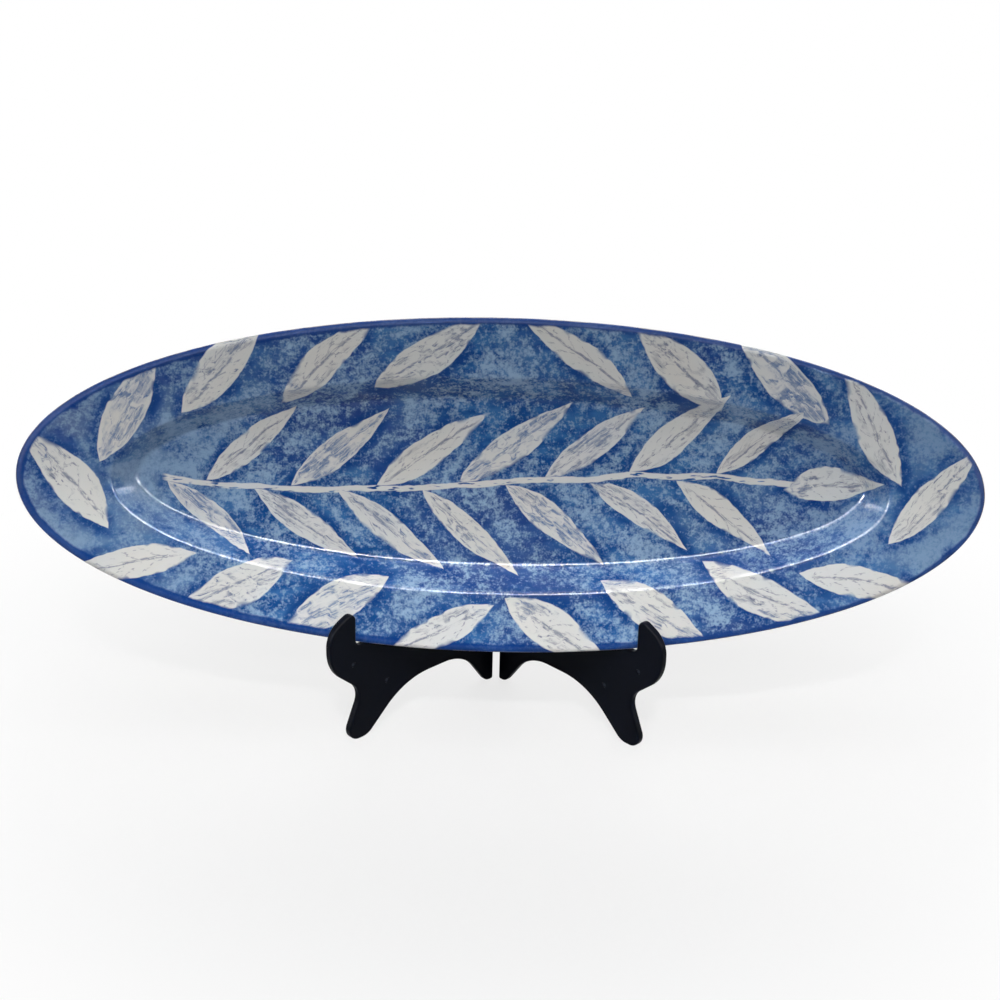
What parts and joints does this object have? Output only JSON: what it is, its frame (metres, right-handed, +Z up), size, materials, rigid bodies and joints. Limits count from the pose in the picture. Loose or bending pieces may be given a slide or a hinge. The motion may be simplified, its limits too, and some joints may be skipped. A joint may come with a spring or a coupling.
{
  "type": "oval serving platter on a folding plate stand",
  "caption": "Long oval glazed serving platter with a wide rim and a shallow well, leaning on a folding V stand whose hinged boards hook its lip and back its foot ring.",
  "frame": {"origin": "middle of the bounding box in plan, on the ground under the stand's feet", "axes": "+X along the platter's length to its right-hand end as seen from the front, -Y towards the viewer, +Z up; the platter leans back towards +Y"},
  "size_m": [0.6, 0.1056, 0.2612],
  "materials": {
    "glazed_stoneware": "clear gloss glaze over cobalt blue and cream white",
    "black_moulding": "satin black moulding",
    "pin_steel": "plain drawn wire"
  },
  "bodies": {
    "right_board": {"right_half": "black_moulding", "hinge_pins": "pin_steel"},
    "left_board": {"left_half": "black_moulding"},
    "dish": {"platter": "glazed_stoneware"}
  },
  "joints": [
    {"name": "platter_lift", "type": "slide", "parent": "right_board", "child": "dish", "axis": [0, 0, 1], "range_m": [0, 0.3]},
    {"name": "stand_fold", "type": "hinge", "parent": "right_board", "child": "left_board", "pos_m": [0, 0.04781, 0.085], "axis": [0, 0, 1], "range_deg": [0, 90]}
  ],
  "couplings": [
    {"joint": "stand_fold", "follows": "platter_lift", "rad_per_m": 5.2}
  ]
}
